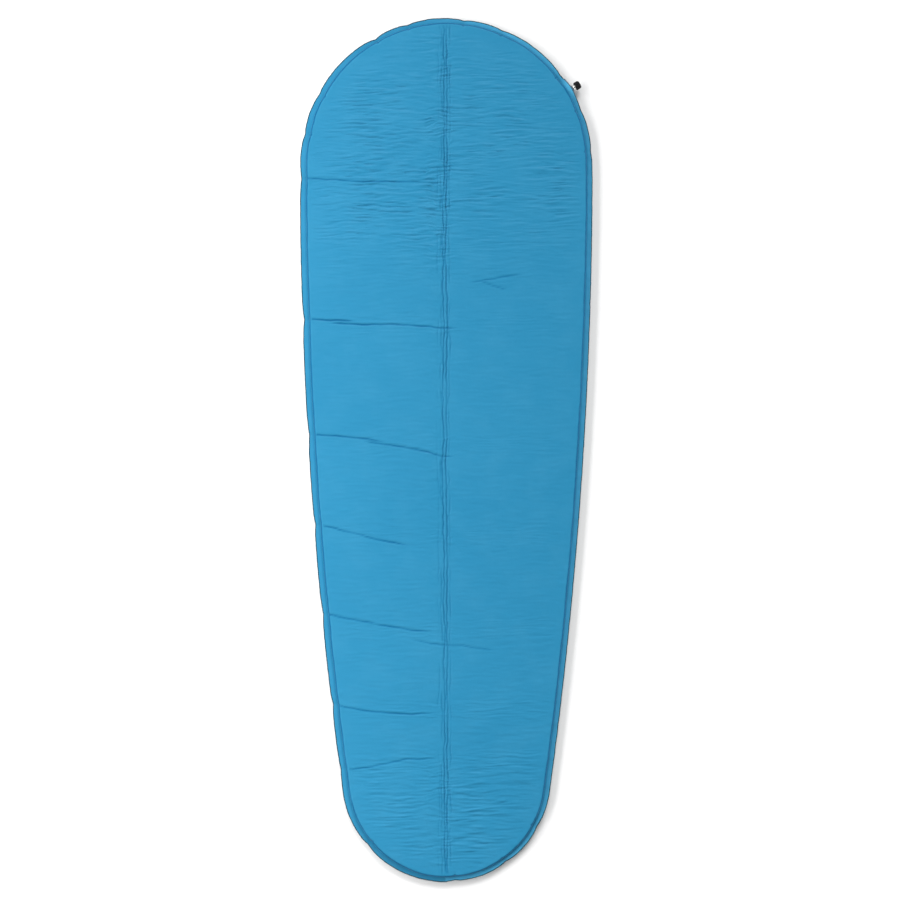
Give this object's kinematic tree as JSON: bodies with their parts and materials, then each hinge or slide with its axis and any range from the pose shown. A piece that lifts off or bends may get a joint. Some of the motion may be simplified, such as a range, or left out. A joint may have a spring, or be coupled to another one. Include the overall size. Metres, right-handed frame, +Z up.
{
  "type": "self-inflating sleeping pad",
  "caption": "Mummy-shaped self-inflating sleeping pad: welded fabric skins over a foam core, with a screw-down mouth valve in the rim; folds in half lengthwise.",
  "frame": {"origin": "centre of the pad's underside, on the fold line", "axes": "+Y along the pad towards its head end, +X across it towards the side with the valve, +Z up through the sleeping surface"},
  "size_m": [0.61, 1.8, 0.03],
  "materials": {
    "top_fabric": "blue polyester taffeta, coated inside, satin, finely wrinkled",
    "bottom_fabric": "dark grey coated polyester, matte",
    "foam": "open-cell polyurethane foam, cream",
    "boot_tpu": "flexible weldable plastic, satin",
    "nickel": "brass with bright nickel plating",
    "black_plastic": "black moulded plastic, fine satin",
    "seal_rubber": "black rubber, dull"
  },
  "bodies": {
    "right_half": {"top_sheet_right": "top_fabric", "bottom_sheet_right": "bottom_fabric", "foam_core_right": "foam", "valve_boot": "boot_tpu", "valve_body": "nickel", "valve_plug": "black_plastic", "plug_seal": "seal_rubber"},
    "left_half": {"top_sheet_left": "top_fabric", "bottom_sheet_left": "bottom_fabric", "foam_core_left": "foam"},
    "cap_slide": {"cap_seal": "seal_rubber"},
    "cap": {"valve_cap": "black_plastic", "cap_retaining_ring": "black_plastic"}
  },
  "joints": [
    {"name": "lengthwise_fold", "type": "hinge", "parent": "right_half", "child": "left_half", "pos_m": [0, 0, 0.0303], "axis": [0, 1, 0], "range_deg": [0, 178]},
    {"name": "cap_lift", "type": "slide", "parent": "right_half", "child": "cap_slide", "axis": [0.8572, 0.515, 0], "range_m": [0, 0.0034]},
    {"name": "cap_turn", "type": "hinge", "parent": "cap_slide", "child": "cap", "pos_m": [0.27344, 0.7593, 0.015], "axis": [0.8572, 0.515, 0], "range_deg": [0, 270]}
  ],
  "couplings": [
    {"joint": "cap_turn", "follows": "cap_lift", "rad_per_m": 1386}
  ]
}
